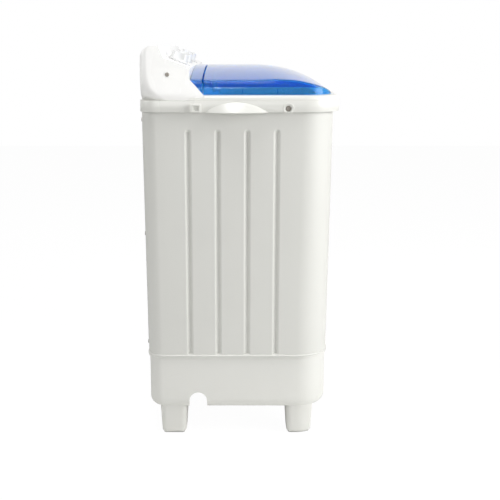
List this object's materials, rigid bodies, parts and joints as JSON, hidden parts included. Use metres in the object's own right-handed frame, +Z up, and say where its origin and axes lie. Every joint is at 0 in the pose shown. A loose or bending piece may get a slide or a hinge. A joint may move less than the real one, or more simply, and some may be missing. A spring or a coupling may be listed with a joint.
{
  "type": "twin tub washing machine",
  "caption": "Upright top-loading washing machine with a wash tub and a spin tub side by side, hinged clear lids and a rear console.",
  "frame": {"origin": "on the floor under the middle of the machine's box", "axes": "+Z up, -Y the front where the user stands, +X from the wash tub towards the spin tub"},
  "size_m": [0.756, 0.434, 0.878],
  "materials": {
    "white_plastic": "smooth semi-gloss injection moulded plastic",
    "painted_sheet": "satin painted sheet steel",
    "blue_clear": "tinted clear plastic, polished outside",
    "grey_plastic": "fine matte moulded plastic",
    "knob_plastic": "semi-gloss moulded plastic",
    "black_rubber": "moulded rubber",
    "grey_rubber": "moulded rubber",
    "dark_plastic": "black moulded plastic",
    "steel": "zinc plated steel",
    "motor_paint": "dark enamel over cast aluminium",
    "pulley_metal": "die cast aluminium"
  },
  "bodies": {
    "machine": {"base": "white_plastic", "foot_pads": "grey_rubber", "cabinet": "white_plastic", "back_panel": "painted_sheet", "back_panel_screws": "steel", "cord_gland": "dark_plastic", "top_cover": "white_plastic", "side_grips": "white_plastic", "hose_hook_socket": "white_plastic", "console": "white_plastic", "console_back": "white_plastic", "shell_screws": "steel", "hinge_strip": "blue_clear", "hinge_pins": "steel", "wash_timer": "grey_plastic", "function_selector": "grey_plastic", "spin_timer": "grey_plastic", "water_inlet": "grey_plastic", "inlet_duct": "grey_plastic", "wash_tub": "white_plastic", "lint_filter_rail": "grey_plastic", "overflow_grille": "grey_plastic", "overflow_pipe": "grey_plastic", "wash_bearing": "pulley_metal", "wash_shaft_seal": "black_rubber", "drive_belt": "black_rubber", "wash_motor": "motor_paint", "wash_motor_cushions": "black_rubber", "spin_tub": "white_plastic", "spin_shaft_seal": "black_rubber", "spin_motor": "motor_paint", "spin_motor_springs": "steel", "drain_valve": "dark_plastic", "drain_pipe": "dark_plastic", "capacitors": "grey_plastic"},
    "wash_lid": {"wash_lid": "blue_clear"},
    "spin_lid": {"spin_lid": "blue_clear"},
    "safety_cover": {"spin_safety_cover": "grey_plastic"},
    "wash_timer_knob": {"wash_timer_knob": "knob_plastic", "wash_timer_spindle": "steel"},
    "function_knob": {"function_selector_knob": "knob_plastic", "function_selector_spindle": "steel"},
    "spin_timer_knob": {"spin_timer_knob": "knob_plastic", "spin_timer_spindle": "steel"},
    "inlet_slider": {"inlet_slider": "knob_plastic"},
    "lint_filter": {"lint_filter": "grey_plastic"},
    "wash_drive": {"wash_pulley": "pulley_metal", "wash_shaft": "steel", "pulsator": "grey_plastic", "pulsator_screw": "steel"},
    "wash_rotor": {"wash_motor_rotor": "steel", "wash_motor_pulley": "pulley_metal"},
    "spin_drive": {"spin_basket": "grey_plastic", "balance_ring": "white_plastic", "spin_shaft": "steel", "brake_drum": "pulley_metal", "spin_motor_rotor": "steel"},
    "press_plate": {"press_plate": "grey_plastic"},
    "brake_lever": {"brake_lever": "steel"},
    "drain_plug": {"drain_plug": "black_rubber"}
  },
  "joints": [
    {"name": "wash_lid_hinge", "type": "hinge", "parent": "machine", "child": "wash_lid", "pos_m": [-0.14, 0.062, 0.815], "axis": [-1, 0, 0], "range_deg": [0, 95]},
    {"name": "spin_lid_hinge", "type": "hinge", "parent": "machine", "child": "spin_lid", "pos_m": [0.16, 0.062, 0.815], "axis": [-1, 0, 0], "range_deg": [0, 95]},
    {"name": "safety_cover_lift", "type": "slide", "parent": "machine", "child": "safety_cover", "axis": [0, 0, 1], "range_m": [0, 0.016]},
    {"name": "wash_timer_turn", "type": "hinge", "parent": "machine", "child": "wash_timer_knob", "pos_m": [-0.205, 0.14168, 0.84454], "axis": [0, -0.3584, 0.9336], "range_deg": [-300, 0]},
    {"name": "function_select", "type": "hinge", "parent": "machine", "child": "function_knob", "pos_m": [-0.015, 0.14168, 0.84454], "axis": [0, -0.3584, 0.9336], "range_deg": [-90, 0]},
    {"name": "spin_timer_turn", "type": "hinge", "parent": "machine", "child": "spin_timer_knob", "pos_m": [0.175, 0.14168, 0.84454], "axis": [0, -0.3584, 0.9336], "range_deg": [-300, 0]},
    {"name": "inlet_slide", "type": "slide", "parent": "machine", "child": "inlet_slider", "axis": [1, 0, 0], "range_m": [0, 0.024]},
    {"name": "lint_filter_lift", "type": "slide", "parent": "machine", "child": "lint_filter", "axis": [0, 0, 1], "range_m": [0, 0.06]},
    {"name": "wash_drive_turn", "type": "hinge", "parent": "machine", "child": "wash_drive", "pos_m": [-0.158, -0.015, 0.355], "axis": [0, 0, 1], "continuous": true},
    {"name": "wash_motor_turn", "type": "hinge", "parent": "machine", "child": "wash_rotor", "pos_m": [-0.006, -0.055, 0.2], "axis": [0, 0, 1], "continuous": true},
    {"name": "spin_drive_turn", "type": "hinge", "parent": "machine", "child": "spin_drive", "pos_m": [0.19, -0.055, 0.5], "axis": [0, 0, 1], "continuous": true},
    {"name": "press_plate_lift", "type": "slide", "parent": "spin_drive", "child": "press_plate", "axis": [0, 0, 1], "range_m": [0, 0.03]},
    {"name": "brake_turn", "type": "hinge", "parent": "machine", "child": "brake_lever", "pos_m": [0.248, -0.089, 0.275], "axis": [0, 0, 1], "range_deg": [0, 4]},
    {"name": "drain_plug_lift", "type": "slide", "parent": "machine", "child": "drain_plug", "axis": [0, 0, 1], "range_m": [0, 0.014]}
  ],
  "couplings": [
    {"joint": "wash_motor_turn", "follows": "wash_drive_turn", "ratio": 3.963},
    {"joint": "brake_turn", "follows": "spin_lid_hinge", "ratio": 0.042105},
    {"joint": "drain_plug_lift", "follows": "function_select", "m_per_rad": -0.008912}
  ]
}
